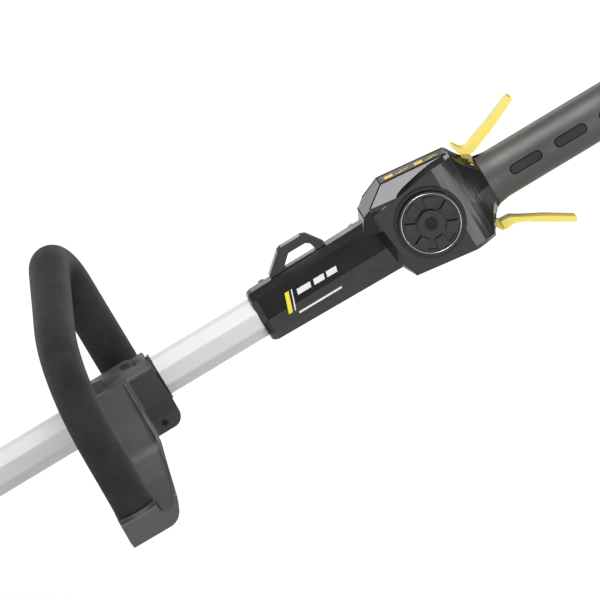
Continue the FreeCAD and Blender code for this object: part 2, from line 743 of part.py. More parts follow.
def make_clamp():
    jaw = clamp_half(-1, CLAMP_FRONT, CLAMP_REAR)
    liner_seat = octagon(SHAFT_FLATS + 3.4, CLAMP_FRONT, CLAMP_REAR)
    save_on_shaft("clamp_jaw", jaw.cut([liner_seat] + clamp_bores()))
    lip = octagon(SHAFT_FLATS + 5.4, CLAMP_REAR, CLAMP_REAR + 0.9)
    save_on_shaft("clamp_liner", united([liner_seat, lip]).cut(shaft_hole(0.1)))
    x, z = CLAMP_BOLT
    bolt = cap_screw(vec(x, -13.4, z), Y_AXIS, 2.6, 2.9, 2.0, 24)
    save_on_shaft("clamp_bolt", bolt)
    nut = box(x - 3.5, x + 3.5, 10.5, 13.8, z - 3.5, z + 3.5).cut(rod(vec(x, 0, z), vec(x, 20, z), 2.0))
    save_on_shaft("clamp_nut", nut)
    save_on_shaft("clamp_hinge_pin", rod(vec(CLAMP_FRONT, 0, 17.1), vec(CLAMP_REAR, 0, 17.1), 1.1))
    screws = []
    for index in range(2):
        head, way = bracket_screw_line(index)
        screws.append(in_loop(cap_screw(head + way * 0.4, way, 3.1, 2.6, 1.9, 2.6)))
    save_on_shaft("bracket_screws", Part.makeCompound(screws))


# ---- head: motor ----
def along_shaft(distance):
    return ELBOW_CENTRE + SHAFT_DIRECTION * distance


ELBOW_END = 98.0


def make_elbow():
    """The casting that joins the shaft to the motor, split and clamped round the shaft."""
    neck = turned([
        (0, MOTOR_TOP), (MOTOR_R, MOTOR_TOP), (MOTOR_R, MOTOR_TOP + 5), (27, ELBOW_HEIGHT),
        (0, ELBOW_HEIGHT),
    ])
    ball = Part.makeSphere(27, ELBOW_CENTRE)
    taper = Part.makeCone(26, 20.5, 30, along_shaft(4), SHAFT_DIRECTION)
    socket = rod(along_shaft(30), along_shaft(ELBOW_END), 20.5)
    frame_x = FreeCAD.Placement(ELBOW_CENTRE, FreeCAD.Rotation(Y_AXIS, -SHAFT_RISE))
    ears = placed(side_plate([(56, -31), (94, -31), (94, -10), (56, -10)], -9, 9, [5, 5, 0, 0]), frame_x)
    body = united([neck, ball, taper, socket, ears])
    bore = placed(octagon(SHAFT_FLATS, ELBOW_REACH, ELBOW_END + 2), frame_x)
    slit = placed(box(52, 110, -1, 1, -40, -5), frame_x)
    inner = [
        rod(ELBOW_CENTRE, along_shaft(ELBOW_REACH), 11),
        rod(vec(0, 0, 120), ELBOW_CENTRE, 11),
        Part.makeSphere(14, ELBOW_CENTRE),
    ]
    bolts = []
    screws = []
    for x in (66, 84):
        bolts.append(placed(rod(vec(x, -12, -25), vec(x, 12, -25), 2.0), frame_x))
        bolts.append(placed(rod(vec(x, -12, -25), vec(x, -6.4, -25), 3.7), frame_x))
        screws.append(placed(cap_screw(vec(x, -9.6, -25), Y_AXIS, 3.5, 3.2, 2.0, 15), frame_x))
    under = rod(vec(0, 0, MOTOR_TOP - 20), vec(0, 0, MOTOR_TOP), 40)
    save("head_elbow", body.cut([bore, slit, under] + inner + bolts))
    save("elbow_screws", Part.makeCompound(screws))


def ring_places(count, radius, first=0.0):
    """Evenly spaced (x, y, angle) places round the spindle."""
    places = []
    for step in range(count):
        angle = first + step * 2 * pi / count
        places.append((radius * cos(angle), radius * sin(angle), degrees(angle)))
    return places


def spun(shape, angle):
    """The shape turned about the spindle by degrees."""
    return placed(shape, FreeCAD.Placement(vec(0, 0, 0), FreeCAD.Rotation(Z_AXIS, angle)))


def make_motor():
    shell = turned([
        (MOTOR_R - 4, MOTOR_BASE), (MOTOR_R, MOTOR_BASE), (MOTOR_R, MOTOR_TOP), (12, MOTOR_TOP),
        (12, MOTOR_TOP - 12), (16, MOTOR_TOP - 12), (16, MOTOR_TOP - 4), (MOTOR_R - 4, MOTOR_TOP - 8),
    ])
    fins = []
    for x, y, angle in ring_places(28, 0):
        fin = box(MOTOR_R - 1, MOTOR_R + 3.5, -0.9, 0.9, MOTOR_BASE + 8, MOTOR_TOP - 6)
        fins.append(spun(fin, angle))
    save("motor_housing", united([shell] + fins))
    cover = turned([
        (11, MOTOR_BASE - 4), (MOTOR_R + 3, MOTOR_BASE - 4), (MOTOR_R + 3, MOTOR_BASE),
        (MOTOR_R - 4.2, MOTOR_BASE), (MOTOR_R - 4.2, MOTOR_BASE + 3), (16, MOTOR_BASE + 3),
        (16, MOTOR_BASE + 7), (11, MOTOR_BASE + 7),
    ])
    slots = []
    for x, y, angle in ring_places(12, 0, radians(15)):
        slot = box(20, 32, -2.2, 2.2, MOTOR_BASE - 6, MOTOR_BASE + 6)
        slots.append(spun(slot, angle))
    save("motor_cover", cover.cut(slots + guard_screw_bores()))
    low = vec(0, 0, MOTOR_BASE)
    high = vec(0, 0, MOTOR_TOP - 12)
    bearings = [
        pipe_piece(low, low + Z_AXIS * 7, 11, SPINDLE_R + FIT),
        pipe_piece(high, high + Z_AXIS * 7, 12, SPINDLE_R + FIT),
    ]
    save("spindle_bearings", Part.makeCompound(bearings))
    stator = pipe_piece(vec(0, 0, 82), vec(0, 0, 112), MOTOR_R - 4, 24)
    teeth = []
    for x, y, angle in ring_places(12, 0):
        gap = box(25.5, 36, -2.4, 2.4, 80, 114)
        teeth.append(spun(gap, angle))
    save("stator", stator.cut(teeth))
    save("rotor", pipe_piece(vec(0, 0, 81), vec(0, 0, 113), 23.3, SPINDLE_R))
    spindle = rod(vec(0, 0, 38.5), vec(0, 0, MOTOR_TOP - 6), SPINDLE_R)
    save("spindle", united([spindle, rod(vec(0, 0, 63), vec(0, 0, 66.5), 8)]))


# ---- head: guard ----
def sector(radius, half_angle, z0, z1):
    """A pie slice behind the spindle."""
    reach = radians(half_angle)
    start = vec(radius * cos(-reach), radius * sin(-reach), z0)
    end = vec(radius * cos(reach), radius * sin(reach), z0)
    edges = [
        Part.LineSegment(vec(0, 0, z0), start).toShape(),
        Part.Arc(start, vec(radius, 0, z0), end).toShape(),
        Part.LineSegment(end, vec(0, 0, z0)).toShape(),
    ]
    return Part.Face(Part.Wire(edges)).extrude(vec(0, 0, z1 - z0))


GUARD_HALF_ANGLE = 62.0
GUARD_SKIRT = 26.0
GUARD_SHEET = 3.0


def guard_screw_places():
    return [(x, y) for x, y, angle in ring_places(4, 37, radians(45))]


def guard_screw_bores():
    return [rod(vec(x, y, 40), vec(x, y, 90), 2.1) for x, y in guard_screw_places()]


def make_guard():
    """A shield behind the cutting line, hung from the motor cover."""
    high = GUARD_TOP - 2
    low = high - GUARD_SHEET
    roof_edge = 42.0
    roof = turned([(18, low), (60, low), (GUARD_R - 12, roof_edge), (GUARD_R - 3, roof_edge - 6),
                   (GUARD_R - 3, GUARD_SKIRT), (GUARD_R, GUARD_SKIRT), (GUARD_R, roof_edge - 4),
                   (GUARD_R - 11, roof_edge + 3.4), (60, high), (18, high)])
    shield = roof.common(sector(GUARD_R + 20, GUARD_HALF_ANGLE, 0, 100))
    disc = turned([(18, low), (MOTOR_R + 3, low), (MOTOR_R + 3, high), (18, high)])
    ribs = []
    for angle in (-40, -14, 14, 40):
        rib = side_plate([(48, high - 0.5), (185, 45), (52, high + 9)], -1.3, 1.3)
        ribs.append(spun(rib, angle))
    save("guard", united([shield, disc] + ribs).cut(guard_screw_bores() + cutter_bores()))
    screws = [cap_screw(vec(x, y, low - 3), Z_AXIS, 3.8, 3, 2.1, 9) for x, y in guard_screw_places()]
    save("guard_screws", Part.makeCompound(screws + cutter_screws()))


def rim_point(radius, angle, z):
    return vec(radius * cos(radians(angle)), radius * sin(radians(angle)), z)


CUTTER_ANGLE = 54.0
CUTTER_Z = 31.5


def cutter_screw_angles():
    return (CUTTER_ANGLE - 1.6, CUTTER_ANGLE + 1.6)


def cutter_bores():
    return [
        rod(rim_point(190, angle, CUTTER_Z), rim_point(206, angle, CUTTER_Z), 2.1)
        for angle in cutter_screw_angles()
    ]


def cutter_screws():
    return [
        cap_screw(rim_point(GUARD_R + 3, angle, CUTTER_Z), -rim_point(1, angle, 0), 3.8, 3, 2.1, 4.6)
        for angle in cutter_screw_angles()
    ]


def make_line_cutter():
    """A steel blade inside the skirt that trims the line to length."""
    plate = box(GUARD_R - 5.1, GUARD_R - 3.6, -11, 11, 27, 35.8)
    edge = flat_plate([(GUARD_R - 14, 9.5), (GUARD_R - 3.6, 11), (GUARD_R - 3.6, 9)], 27, 35.8)
    blade = united([plate, edge])
    turn = FreeCAD.Placement(vec(0, 0, 0), FreeCAD.Rotation(Z_AXIS, CUTTER_ANGLE))
    save("line_cutter", placed(blade, turn).cut(cutter_bores()))


# ---- head: spool ----
def make_spool_housing():
    """The upper half of the bump head, screwed on the spindle."""
    shell = turned([
        (SPINDLE_R, SPOOL_TOP - 5), (SPOOL_HOUSING_R - 3.5, SPOOL_TOP - 5), (SPOOL_HOUSING_R - 3.5, 16),
        (SPOOL_HOUSING_R, 16), (SPOOL_HOUSING_R, SPOOL_TOP - 6), (SPOOL_HOUSING_R - 5, SPOOL_TOP),
        (17, SPOOL_TOP + 2), (13, SPOOL_TOP + 9), (SPINDLE_R, SPOOL_TOP + 9),
    ])
    ribs = []
    for x, y, angle in ring_places(16, 0, radians(11.25)):
        rib = box(SPOOL_HOUSING_R - 1, SPOOL_HOUSING_R + 1.6, -1.6, 1.6, 17, SPOOL_TOP - 8)
        ribs.append(spun(rib, angle))
    body = united([shell] + ribs).cut([eyelet_bore(side) for side in (-1, 1)])
    save("spool_housing", body)
    cover = turned([
        (30, 9), (SPOOL_HOUSING_R - 6, 9), (SPOOL_HOUSING_R, 12), (SPOOL_HOUSING_R, 16),
        (SPOOL_HOUSING_R - 3.7, 16), (SPOOL_HOUSING_R - 3.7, 19), (SPOOL_HOUSING_R - 6, 19),
        (SPOOL_HOUSING_R - 6, 13), (30, 13),
    ])
    notches = []
    for x, y, angle in ring_places(8, 0):
        notch = box(SPOOL_HOUSING_R - 2.5, SPOOL_HOUSING_R + 4, -6, 6, 8, 14.5)
        notches.append(spun(notch, angle))
    save("spool_cover", cover.cut(notches))
    nut = turned([(SPINDLE_R, 39.5), (9, 39.5), (9, SPOOL_TOP - 5), (SPINDLE_R, SPOOL_TOP - 5)])
    flats = [spun(box(7.8, 12, -12, 12, 39, 46), angle) for angle in range(0, 360, 60)]
    save("arbor_nut", nut.cut(flats))


def eyelet_bore(side):
    return rod(vec(side * (SPOOL_HOUSING_R - 6), 0, LINE_Z), vec(side * (SPOOL_HOUSING_R + 6), 0, LINE_Z), 5)


def make_eyelets():
    eyelets = []
    lines = []
    for side in (-1, 1):
        inner = vec(side * (SPOOL_HOUSING_R - 4.5), 0, LINE_Z)
        outer = vec(side * (SPOOL_HOUSING_R + 2.6), 0, LINE_Z)
        flange = vec(side * SPOOL_HOUSING_R, 0, LINE_Z)
        bush = united([rod(inner, outer, 5), rod(flange + X_AXIS * side * 1.8, outer, 6.4)])
        eyelets.append(bush.cut(rod(inner, outer, LINE_R)))
        lines.append(rod(vec(side * 48.4, 0, LINE_Z), vec(side * LINE_REACH, 0, LINE_Z), LINE_R))
    save("line_eyelets", Part.makeCompound(eyelets))
    save("cutting_line", Part.makeCompound(lines))


def make_spool():
    spool = turned([
        (15.4, 14.5), (28, 14.5), (28, 17), (47, 17), (47, 19.2), (21, 19.2), (21, 35), (47, 35),
        (47, 37.2), (18.5, 37.2), (18.5, 30), (15.4, 30),
    ])
    save("spool", spool)
    turns = turned([(21, 19.4), (39, 19.4), (39, 34.8), (21, 34.8)])
    save("wound_line", turns)
    knob = turned([
        (0, 0), (19, 0), (25, 2.5), (27, 6), (27, 10), (24.6, 14.2), (15, 14.2), (15, 29.6), (11.5, 29.6),
        (11.5, 6), (0, 6),
    ])
    grooves = [rod(vec(x, y, 4.5), vec(x, y, 12), 3) for x, y, angle in ring_places(10, 28.4)]
    save("bump_knob", knob.cut(grooves))
    save("spool_spring", coil(vec(0, 0, 31.2), Z_AXIS, 16.6, 0.8, 12.6, 5))


def main():
    os.makedirs("parts", exist_ok=True)
    make_shaft()
    make_motor_cable()
    outside = make_housing()
    make_case_screws()
    save_on_shaft("strap_eye", make_strap_eye().cut(outside.cut(eye_foot(0))))
    make_top_cover(outside)
    make_knob()
    make_control_board()
    make_safety_lever()
    make_throttle_lever()
    make_lever_hardware()
    make_grip()
    make_grip_end()
    make_wire_harness()
    make_loop()
    make_bracket()
    make_clamp()
    make_elbow()
    make_motor()
    make_guard()
    make_line_cutter()
    make_spool_housing()
    make_eyelets()
    make_spool()


main()
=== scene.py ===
import json
from math import cos, pi, radians, sin

import bmesh
import bpy
from mathutils import Matrix, Vector, noise
from mathutils.bvhtree import BVHTree


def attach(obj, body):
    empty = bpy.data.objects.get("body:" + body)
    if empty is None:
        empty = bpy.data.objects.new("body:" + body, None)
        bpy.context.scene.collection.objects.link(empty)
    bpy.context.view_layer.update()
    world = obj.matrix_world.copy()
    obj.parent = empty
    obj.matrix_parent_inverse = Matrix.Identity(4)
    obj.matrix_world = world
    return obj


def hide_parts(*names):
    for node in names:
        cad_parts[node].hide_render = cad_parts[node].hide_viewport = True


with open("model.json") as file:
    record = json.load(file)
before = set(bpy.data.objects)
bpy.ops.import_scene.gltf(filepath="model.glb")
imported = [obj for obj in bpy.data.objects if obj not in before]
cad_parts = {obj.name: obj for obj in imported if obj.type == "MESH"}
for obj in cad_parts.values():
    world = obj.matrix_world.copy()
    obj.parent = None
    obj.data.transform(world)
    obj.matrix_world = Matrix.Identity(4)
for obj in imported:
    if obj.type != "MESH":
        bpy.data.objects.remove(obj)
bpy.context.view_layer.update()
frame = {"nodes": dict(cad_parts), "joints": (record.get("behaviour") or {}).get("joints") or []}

# ---- the trimmer's own directions: back along the shaft, to the right, and up from the shaft ----
SHAFT_RISE = radians(30.3)
BACK = Vector((cos(SHAFT_RISE), 0, sin(SHAFT_RISE)))
RIGHT = Vector((0, 1, 0))
UP = Vector((-sin(SHAFT_RISE), 0, cos(SHAFT_RISE)))
KNOB_X = 0.137
BODY_HALF_WIDTH = 0.025
JOINTS = {joint["name"]: joint for joint in frame["joints"]}
DIAL = Vector(JOINTS["speed_dial_turn"]["pos_m"])
HOUSING_FRONT = DIAL - BACK * KNOB_X + RIGHT * BODY_HALF_WIDTH
TRIMMER = Matrix((
    (BACK.x, 0, UP.x, HOUSING_FRONT.x),
    (BACK.y, 1, UP.y, HOUSING_FRONT.y),
    (BACK.z, 0, UP.z, HOUSING_FRONT.z),
    (0, 0, 0, 1),
))
LOOP_YAW = radians(15.2)
LOOP_X = -0.1105
LOOP = TRIMMER @ Matrix.Translation((LOOP_X, 0, 0)) @ Matrix.Rotation(-LOOP_YAW, 4, "Z")

# ---- the camera ----
CAMERA_TILT = radians(12)
CAMERA_ROLL = radians(31)
CAMERA_DISTANCE = 20.0
VIEW_WIDTH = 0.42
AIM = Vector((0.0308, 0, -0.005))


def make_camera():
    """Looks at the handles from the operator's left, a little from above."""
    away = RIGHT * cos(CAMERA_TILT) - UP * sin(CAMERA_TILT)
    over = RIGHT * sin(CAMERA_TILT) + UP * cos(CAMERA_TILT)
    right = BACK * cos(CAMERA_ROLL) - over * sin(CAMERA_ROLL)
    top = BACK * sin(CAMERA_ROLL) + over * cos(CAMERA_ROLL)
    data = bpy.data.cameras.new("camera")
    data.sensor_width = 36
    data.lens = 36 * CAMERA_DISTANCE / VIEW_WIDTH
    data.clip_end = 60
    camera = bpy.data.objects.new("camera", data)
    place = TRIMMER @ AIM - away * CAMERA_DISTANCE
    camera.matrix_world = Matrix((
        (right.x, top.x, -away.x, place.x),
        (right.y, top.y, -away.y, place.y),
        (right.z, top.z, -away.z, place.z),
        (0, 0, 0, 1),
    ))
    bpy.context.scene.collection.objects.link(camera)
    bpy.context.scene.camera = camera
    return right, top, away


# ---- materials ----
def node(tree, kind, **values):
    made = tree.nodes.new(kind)
    for key, value in values.items():
        if key in made.inputs:
            made.inputs[key].default_value = value
        else:
            setattr(made, key, value)
    return made


def mottled(tree, coords, scale, low, high, detail=4):
    """Noise between two levels, as a value."""
    cloud = node(tree, "ShaderNodeTexNoise", Scale=scale, Detail=detail)
    tree.links.new(coords, cloud.inputs["Vector"])
    spread = node(tree, "ShaderNodeMapRange")
    spread.inputs["From Min"].default_value = 0.3
    spread.inputs["From Max"].default_value = 0.7
    spread.inputs["To Min"].default_value = low
    spread.inputs["To Max"].default_value = high
    tree.links.new(cloud.outputs["Fac"], spread.inputs["Value"])
    return spread.outputs["Result"]


def material(name, color, rough, metallic=0.0, vary=0.1, rough_vary=0.06, grain=900.0, bump=0.1,
             blotch=35.0, stretch=None, coat=0.0, pits=None, **sockets):
    """A procedural finish: colour drift, uneven gloss and a fine surface grain."""
    made = bpy.data.materials.new(name)
    made.use_nodes = True
    tree = made.node_tree
    shader = tree.nodes["Principled BSDF"]
    coords = tree.nodes.new("ShaderNodeTexCoord").outputs["Object"]
    if stretch is not None:
        mapping = tree.nodes.new("ShaderNodeMapping")
        mapping.inputs["Rotation"].default_value = (0, SHAFT_RISE, 0)
        mapping.inputs["Scale"].default_value = stretch
        tree.links.new(coords, mapping.inputs["Vector"])
        coords = mapping.outputs["Vector"]
    mix = node(tree, "ShaderNodeMix", data_type="RGBA")
    mix.inputs["A"].default_value = (*[channel * (1 - vary) for channel in color], 1)
    mix.inputs["B"].default_value = (*[min(1, channel * (1 + vary)) for channel in color], 1)
    tree.links.new(mottled(tree, coords, blotch, 0, 1), mix.inputs["Factor"])
    tree.links.new(mix.outputs["Result"], shader.inputs["Base Color"])
    gloss = mottled(tree, coords, blotch * 2.3, max(0.02, rough - rough_vary), min(1, rough + rough_vary))
    tree.links.new(gloss, shader.inputs["Roughness"])
    shader.inputs["Metallic"].default_value = metallic
    if coat:
        shader.inputs["Coat Weight"].default_value = coat
        shader.inputs["Coat Roughness"].default_value = 0.04
    for key, value in sockets.items():
        shader.inputs[key.replace("_", " ")].default_value = value
    relief = node(tree, "ShaderNodeBump", Strength=bump, Distance=0.0004)
    if pits:
        cells = node(tree, "ShaderNodeTexVoronoi", Scale=pits)
        tree.links.new(coords, cells.inputs["Vector"])
        tree.links.new(cells.outputs["Distance"], relief.inputs["Height"])
    else:
        tree.links.new(mottled(tree, coords, grain, 0, 1, 6), relief.inputs["Height"])
    tree.links.new(relief.outputs["Normal"], shader.inputs["Normal"])
    return made


def make_materials():
    return {
        "aluminium": material("anodised", (0.74, 0.74, 0.76), 0.50, 0.10, 0.03, 0.05, 700, 0.05,
                              30, (0.02, 1, 1)),
        "gloss_black": material("gloss_black", (0.012, 0.012, 0.013), 0.24, 0, 0.2, 0.04, 160, 0.015,
                                22, None, 0.25),
        # near black with weak reflection: dark joints round the grip pads, and painted shade under the
        # cap, in the dial's pockets and along the cap's creases
        "joint_and_shade": material("joint_black_and_painted_shade", (0.004, 0.004, 0.004), 0.60, 0, 0.2, 0.05, 900, 0.08, 30,
                           None, 0, None, Specular_IOR_Level=0.15),
        "satin_black": material("satin_black", (0.010, 0.010, 0.011), 0.34, 0, 0.2, 0.05, 1400, 0.10),
        "cover": material("cover_black", (0.014, 0.014, 0.015), 0.30, 0, 0.2, 0.05, 900, 0.05, 30,
                          None, 0.2),
        # grey accent on the cap's side facets; the same grey on the cap's front slope is a painted
        # reflection
        "facet_and_reflection": material("facet_grey_and_painted_reflection", (0.27, 0.265, 0.28), 0.36, 0, 0.06, 0.05, 1100, 0.06, 40),
        "panel": material("panel", (0.085, 0.070, 0.050), 0.34, 0, 0.15, 0.04, 500, 0.02, 60),
        "yellow_light": material("yellow_light", (0.95, 0.72, 0.05), 0.35, 0, 0.05),
        "lever": material("lever_yellow", (1.0, 0.82, 0.16), 0.34, 0, 0.0, 0.02, 500, 0.01, 40,
                          None, 0.1),
        "grip": material("grip_plastic", (0.088, 0.084, 0.084), 0.36, 0, 0.10, 0.06, 1800, 0.16),
        "pad": material("grip_rubber", (0.020, 0.020, 0.022), 0.58, 0, 0.2, 0.08, 1600, 0.25),
        "foam": material("foam", (0.024, 0.023, 0.023), 0.88, 0, 0.30, 0.08, 900, 0.9, 60,
                         None, 0, 1500, Sheen_Weight=0.18, Sheen_Roughness=0.5,
                         Specular_IOR_Level=0.25),
        "bracket": material("bracket_grey", (0.088, 0.089, 0.093), 0.46, 0, 0.10, 0.07, 1500, 0.16),
        "clamp": material("clamp_grey", (0.030, 0.031, 0.033), 0.42, 0, 0.14, 0.07, 1500, 0.18),
        "dark": material("dark_plastic", (0.020, 0.020, 0.022), 0.45, 0, 0.18, 0.08, 1300, 0.18),
        "guard": material("guard_plastic", (0.024, 0.024, 0.026), 0.40, 0, 0.16, 0.08, 1000, 0.2, 18),
        "knob": material("bump_plastic", (0.018, 0.018, 0.019), 0.50, 0, 0.3, 0.12, 600, 0.3, 60),
        "casting": material("head_casting", (0.030, 0.031, 0.034), 0.42, 0.3, 0.15, 0.08, 800, 0.3),
        "motor": material("motor_alloy", (0.46, 0.47, 0.50), 0.42, 1.0, 0.08, 0.08, 900, 0.25),
        "screw": material("zinc_screw", (0.50, 0.50, 0.52), 0.30, 1.0, 0.08, 0.08, 1600, 0.12, 150),
        "steel": material("ground_steel", (0.62, 0.62, 0.64), 0.22, 1.0, 0.06, 0.06, 1500, 0.1, 120),
        "dark_screw": material("black_screw", (0.02, 0.02, 0.021), 0.34, 0.6, 0.15, 0.08, 1600, 0.1, 150),
        "stator": material("stator", (0.30, 0.17, 0.09), 0.42, 1.0, 0.25, 0.1, 500, 0.3, 90),
        "board": material("board", (0.02, 0.12, 0.05), 0.4, 0, 0.2, 0.1, 600, 0.2, 200),
        "brass": material("brass", (0.80, 0.58, 0.22), 0.25, 1.0, 0.1, 0.06, 900, 0.1, 100),
        "cable": material("cable", (0.018, 0.018, 0.019), 0.55, 0, 0.2, 0.08, 900, 0.2),
        "line": material("line", (0.85, 0.26, 0.02), 0.32, 0, 0.1, 0.06, 500, 0.1, 80, None, 0,
                         None, Subsurface_Weight=0.2, Subsurface_Scale=0.002),
        "white_print": material("white_print", (0.86, 0.86, 0.86), 0.42, 0, 0.03),
        "yellow_print": material("yellow_print", (0.95, 0.80, 0.06), 0.40, 0, 0.03),
        "cream": material("cream", (0.62, 0.52, 0.40), 0.35, 0.3, 0.1),
    }


NODE_FINISH = {
    "aluminium": ["shaft_tube"],
    "gloss_black": ["housing_left", "housing_right", "strap_eye", "speed_knob"],
    "cover": ["top_cover"],
    "satin_black": ["knob_bezel", "knob_encoder", "safety_switch", "throttle_sensor", "power_inlet"],
    "panel": ["display_window"],
    "yellow_light": ["status_lights"],
    "lever": ["safety_lever", "throttle_lever"],
    "grip": ["grip_left", "grip_right", "grip_end_cap"],
    "pad": ["grip_pads", "clamp_liner"],
    "foam": ["loop_foam"],
    "bracket": ["loop_bracket"],
    "clamp": ["clamp_jaw"],
    "dark": ["loop_tube", "spool_housing", "spool_cover"],
    "guard": ["guard"],
    "knob": ["bump_knob", "spool"],
    "casting": ["head_elbow", "motor_cover"],
    "motor": ["motor_housing", "heat_sink", "line_eyelets"],
    "screw": ["case_screws", "elbow_screws", "guard_screws", "arbor_nut", "clamp_nut", "bracket_screws"],
    "dark_screw": ["knob_screw", "clamp_bolt"],
    "steel": ["safety_pin", "throttle_pin", "safety_spring", "throttle_spring", "spindle",
              "spindle_bearings", "spool_spring", "line_cutter"],
    "cream": ["clamp_hinge_pin"],
    "stator": ["stator", "rotor"],
    "board": ["control_board"],
    "brass": ["inlet_pins"],
    "cable": ["motor_cable", "wire_harness"],
    "line": ["cutting_line", "wound_line"],
}

ROUNDED_EDGES = {
    "housing_left": 0.0009, "housing_right": 0.0009, "top_cover": 0.0005, "strap_eye": 0.0006,
    "speed_knob": 0.0004, "knob_bezel": 0.0004, "safety_lever": 0.0007, "throttle_lever": 0.0007,
    "grip_left": 0.0003, "grip_right": 0.0003, "grip_end_cap": 0.0008, "loop_bracket": 0.0008,
    "clamp_jaw": 0.0010, "head_elbow": 0.0010, "motor_cover": 0.0006, "guard": 0.0006,
    "spool_housing": 0.0007, "spool_cover": 0.0007, "bump_knob": 0.0006, "grip_pads": 0.0003,
    "display_window": 0.0001, "power_inlet": 0.0003,
}


def finish_nodes(finishes):
    """Gives every CAD node its finish and softens its edges."""
    for finish, names in NODE_FINISH.items():
        for name in names:
            piece = frame["nodes"][name]
            piece.data.materials.clear()
            piece.data.materials.append(finishes[finish])
    for name, width in ROUNDED_EDGES.items():
        round_edges(frame["nodes"][name], width)


def round_edges(piece, width, segments=3):
    bevel = piece.modifiers.new("rounded", "BEVEL")
    bevel.width = width
    bevel.segments = segments
    bevel.limit_method = "ANGLE"
    bevel.angle_limit = radians(28)
    bevel.harden_normals = False
    smooth = piece.modifiers.new("shading", "WEIGHTED_NORMAL")
    smooth.keep_sharp = True


# ---- finer finishes, painted shade and a painted reflection on some faces of a node ----
TO_TRIMMER = TRIMMER.inverted()
DIAL_SPOKES_IN = 10.0
DIAL_SPOKES_OUT = 20.0


def dial_reach(at):
    """How far a place is from the dial's axis, in millimetres."""
    return ((at.x - KNOB_X * 1000) ** 2 + at.z ** 2) ** 0.5


def repaint(name, finish, wanted):
    """Gives a node's faces a second finish where a test of place and direction holds."""
    mesh = frame["nodes"][name].data
    mesh.materials.append(finish)
    for face in mesh.polygons:
        place = TO_TRIMMER @ face.center
        facing = TO_TRIMMER.to_3x3() @ face.normal
        if wanted(place * 1000, facing):
            face.material_index = len(mesh.materials) - 1


def paint_facets_shade_and_reflection(finishes):
    """Lighter grey side facets on the cap and the same grey as a painted reflection on its front slope;
    painted shade in near black under the cap and in the dial's pockets; the cap's black on the neck's
    top.
    """
    # side facets get the grey accent; front-facing slopes get the same grey as a painted reflection
    repaint("top_cover", finishes["facet_and_reflection"],
            lambda at, way: 0.3 < way.z < 0.985 and (abs(way.y) > 0.2 or way.x < -0.3) and at.x < 152)
    for name in ("housing_left", "housing_right"):
        # painted shade: the housing's upward faces under the cap are painted near black as a shadow gap
        repaint(name, finishes["joint_and_shade"],
                lambda at, way: 104 < at.x < 168 and at.z > 26 and way.z > 0.6)
        repaint(name, finishes["cover"], lambda at, way: at.x < 92 and way.z > 0.35)
    # painted shade: the walls of the dial's pockets are painted near black
    repaint("speed_knob", finishes["joint_and_shade"],
            lambda at, way: abs(way.y) < 0.3 and DIAL_SPOKES_IN < dial_reach(at) < DIAL_SPOKES_OUT)


# ---- pieces ----
def new_piece(name, mesh, finish, body):
    piece = bpy.data.objects.new(name, mesh)
    bpy.context.scene.collection.objects.link(piece)
    mesh.materials.append(finish)
    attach(piece, body)
    return piece


def mesh_from(name, points, faces):
    mesh = bpy.data.meshes.new(name)
    mesh.from_pydata(points, [], faces)
    mesh.update()
    return mesh


# the loop's centre line across and up, in millimetres, as the frame has it
NEAR_FOOT = (-121.5, -71.0)
NEAR_BEND = (-113.0, 60.7)
FAR_BEND = (36.0, 115.5)
NEAR_BEND_R = 85.0
FAR_BEND_R = 24.0
NEAR_SOCKET_TOP = -48.0
FAR_SOCKET_TOP = 13.5
FOAM_R = 14.5
FOAM_BORE = 9.6
FOAM_STEP = 2.5


def loop_line():
    """Evenly spaced points along the foam's centre line, from the near end to the far end."""
    share = (NEAR_SOCKET_TOP - NEAR_FOOT[1]) / (NEAR_BEND[1] - NEAR_FOOT[1])
    start = Vector((NEAR_FOOT[0] + share * (NEAR_BEND[0] - NEAR_FOOT[0]), NEAR_SOCKET_TOP))
    corners = [start, Vector(NEAR_BEND), Vector(FAR_BEND), Vector((FAR_BEND[0], FAR_SOCKET_TOP))]
    line = []
    here = corners[0]
    bends = ((corners[1], corners[2], NEAR_BEND_R), (corners[2], corners[3], FAR_BEND_R))
    for corner, after, radius in bends:
        back = (here - corner).normalized()
        ahead = (after - corner).normalized()
        half = back.angle(ahead) / 2
        enter = corner + back * radius * cos(half) / sin(half)
        line += straight(here, enter)
        centre = corner + (back + ahead).normalized() * radius / sin(half)
        turn = pi - 2 * half
        steps = max(2, round(turn * radius / FOAM_STEP))
        spoke = enter - centre
        sign = 1 if spoke.y * back.x - spoke.x * back.y > 0 else -1
        for step in range(steps):
            angle = sign * turn * step / steps
            line.append(centre + Vector((spoke.x * cos(angle) - spoke.y * sin(angle),
                                         spoke.x * sin(angle) + spoke.y * cos(angle))))
        here = corner + ahead * radius * cos(half) / sin(half)
    return line + straight(here, corners[3]) + [corners[3]]


def straight(start, end):
    steps = max(1, round((end - start).length / FOAM_STEP))
    return [start.lerp(end, step / steps) for step in range(steps)]


def foam_ring(line, index, radius, count):
    """A ring of points round the centre line, in the row frame."""
    before = line[max(0, index - 1)]
    after = line[min(len(line) - 1, index + 1)]
    along = (after - before).normalized()
    across = Vector((0, -along.y, along.x))
    centre = Vector((0, line[index].x, line[index].y))
    ring = []
    for step in range(count):
        angle = 2 * pi * step / count
        swell = radius
        if radius > FOAM_BORE + 1:
            wave = noise.noise(Vector((index * 0.09, cos(angle) * 1.1, sin(angle) * 1.1)))
            swell -= 0.16 * (1 + wave)
        point = centre + (Vector((1, 0, 0)) * cos(angle) + across * sin(angle)) * swell
        ring.append(LOOP @ (point / 1000))
    return ring


